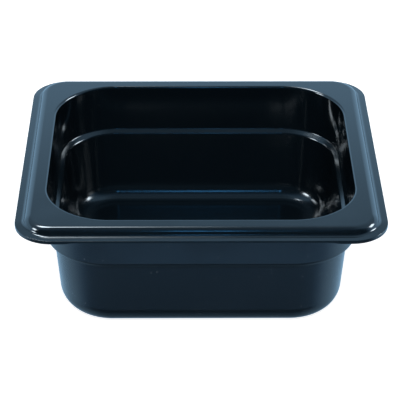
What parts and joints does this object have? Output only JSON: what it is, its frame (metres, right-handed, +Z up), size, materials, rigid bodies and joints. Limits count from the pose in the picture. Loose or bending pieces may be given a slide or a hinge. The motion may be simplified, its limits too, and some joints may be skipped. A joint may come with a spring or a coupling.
{
  "type": "deli food pan",
  "caption": "One-sixth size food pan: stepped drafted basin hanging from a raised hollow rim with a thin lip, moulded in black plastic.",
  "frame": {"origin": "middle of the base, on the surface that the pan stands on", "axes": "+X along the longer side of the rim, +Y along its shorter side, +Z up out of the opening"},
  "size_m": [0.176, 0.162, 0.065],
  "materials": {
    "black_polycarbonate": "black polycarbonate, mirror gloss inside and on the rim, a little duller on the outer walls, with fine handling scratches"
  },
  "bodies": {
    "root": {"pan": "black_polycarbonate"}
  },
  "joints": []
}
